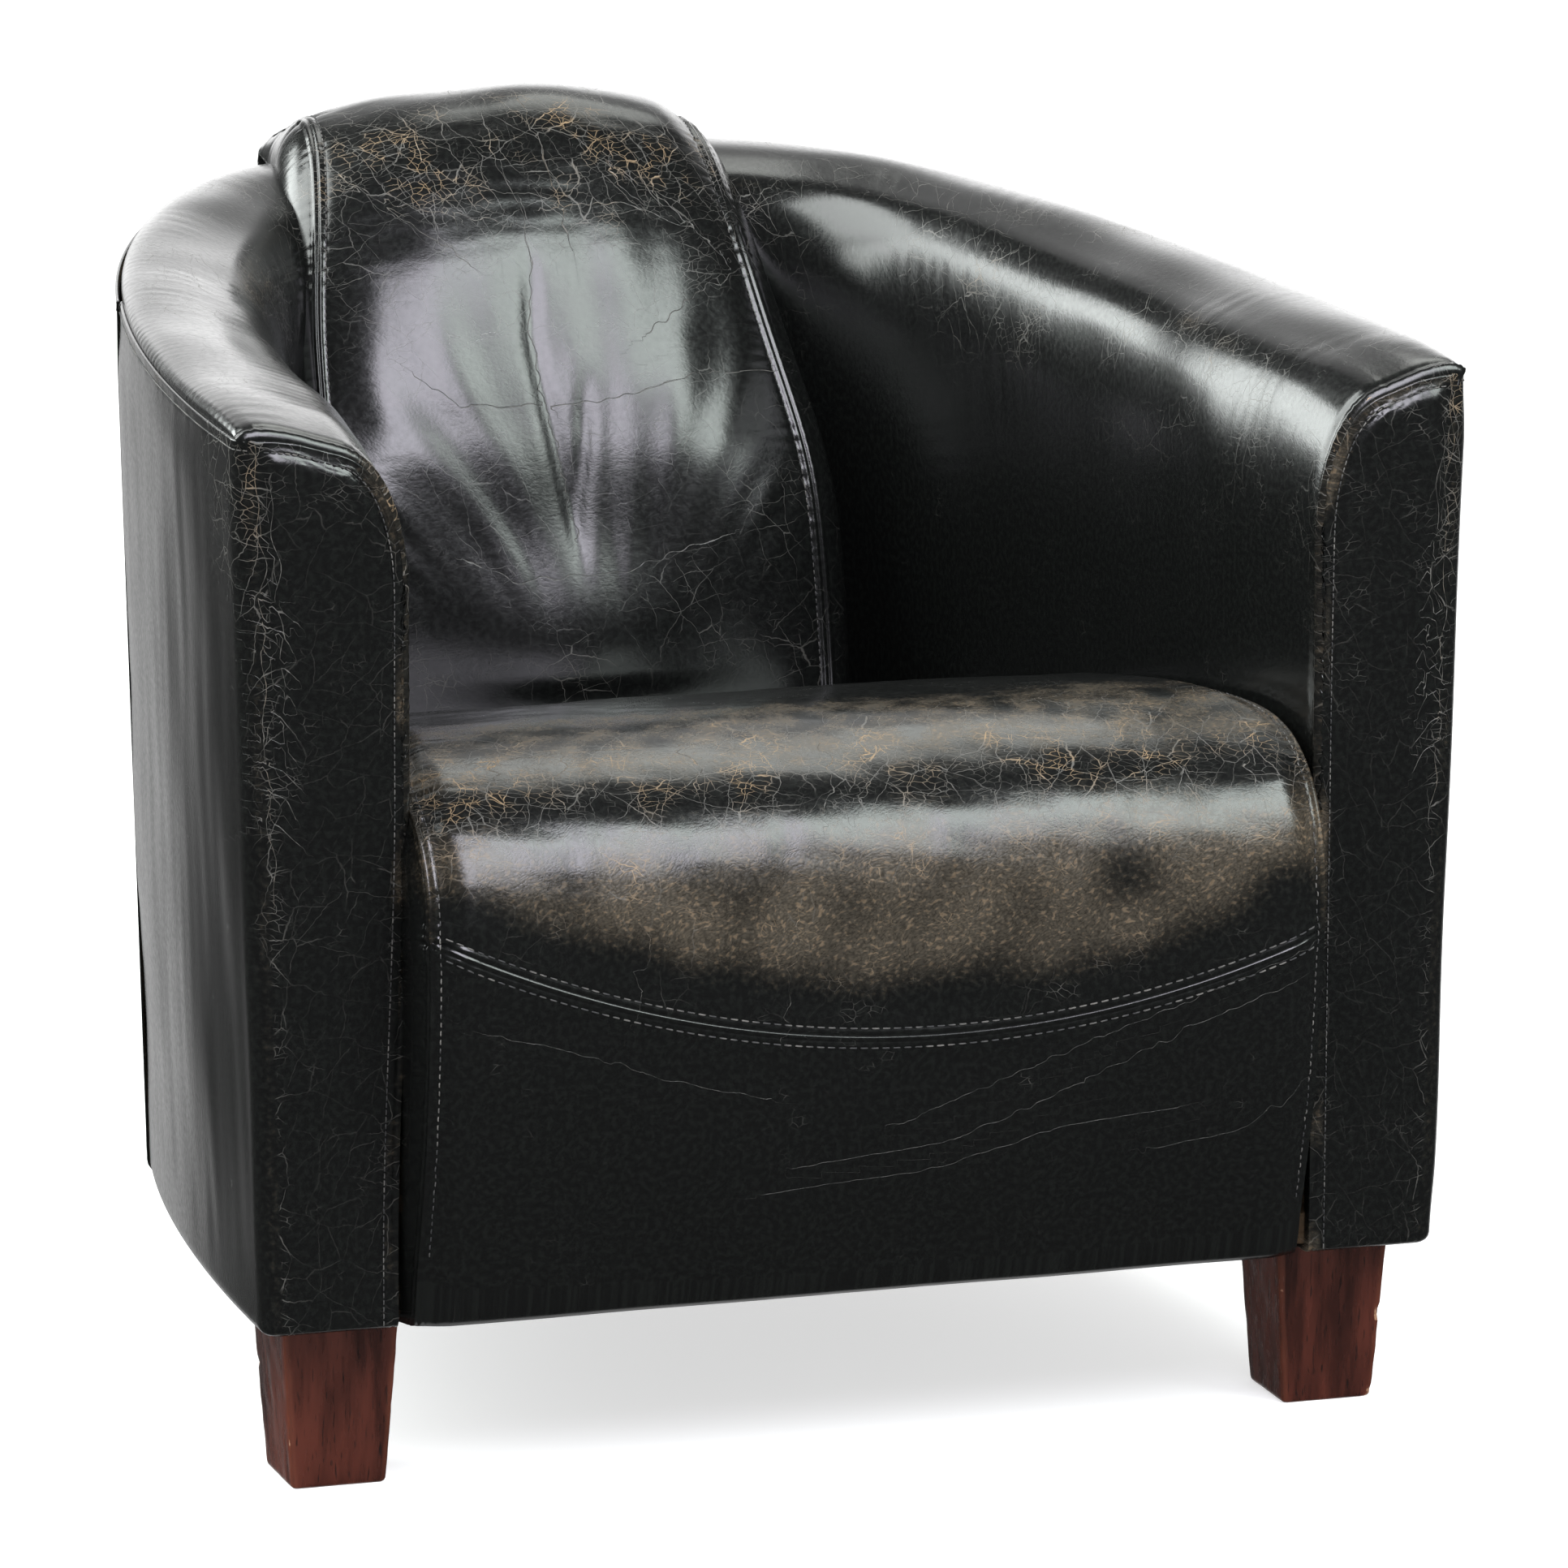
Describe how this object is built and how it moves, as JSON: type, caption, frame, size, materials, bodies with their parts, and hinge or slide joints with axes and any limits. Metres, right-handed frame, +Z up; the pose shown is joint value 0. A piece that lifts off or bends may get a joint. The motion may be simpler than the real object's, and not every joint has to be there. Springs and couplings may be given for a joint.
{
  "type": "club chair",
  "caption": "Worn leather tub club chair with rounded arms, a sprung seat, a back cushion lapped over the rim and tapered wooden legs.",
  "frame": {"origin": "on the floor under the middle of the chair's bounding box", "axes": "+X to the chair's right arm as seen from the front, +Y from the front towards the back, +Z up"},
  "size_m": [0.75, 0.8, 0.7129],
  "materials": {
    "leather": "satin",
    "mahogany": "satin",
    "pine": "matte",
    "plywood": "matte",
    "fibreboard": "matte",
    "foam": "matte",
    "hessian": "matte",
    "webbing": "matte",
    "cambric": "matte",
    "steel": "satin"
  },
  "bodies": {
    "root": {"leg_front_left": "mahogany", "leg_front_right": "mahogany", "leg_rear_left": "mahogany", "leg_rear_right": "mahogany", "leg_bolt_front_left": "steel", "leg_bolt_front_right": "steel", "leg_bolt_rear_left": "steel", "leg_bolt_rear_right": "steel", "leg_block_front_left": "pine", "leg_block_front_right": "pine", "leg_block_rear_left": "pine", "leg_block_rear_right": "pine", "front_rail": "pine", "back_rail": "pine", "side_rail_left": "pine", "side_rail_right": "pine", "back_upright_left": "pine", "back_upright_right": "pine", "base_ring": "plywood", "arm_board_left": "plywood", "arm_board_right": "plywood", "rim_rail": "plywood", "tub_board": "fibreboard", "arm_lining_left": "fibreboard", "arm_lining_right": "fibreboard", "back_webbing_1": "webbing", "back_webbing_2": "webbing", "back_webbing_3": "webbing", "dust_cover": "cambric", "spring_cloth": "hessian", "seat_spring_1": "steel", "seat_spring_2": "steel", "seat_spring_3": "steel", "seat_spring_4": "steel", "spring_clip_front_1": "steel", "spring_clip_front_2": "steel", "spring_clip_front_3": "steel", "spring_clip_front_4": "steel", "spring_clip_back_1": "steel", "spring_clip_back_2": "steel", "spring_clip_back_3": "steel", "spring_clip_back_4": "steel", "arm_foam_left": "foam", "arm_foam_right": "foam", "back_foam": "foam", "seat_foam": "foam", "front_foam": "foam", "back_cushion_foam": "foam", "inside_cover_left": "leather", "inside_cover_right": "leather", "outside_cover_left": "leather", "outside_cover_right": "leather", "outside_back_cover": "leather", "seat_cover": "leather", "front_cover": "leather", "seat_gusset_left": "leather", "seat_gusset_right": "leather", "back_cushion_cover": "leather", "back_cushion_gusset_left": "leather", "back_cushion_gusset_right": "leather"}
  },
  "joints": []
}
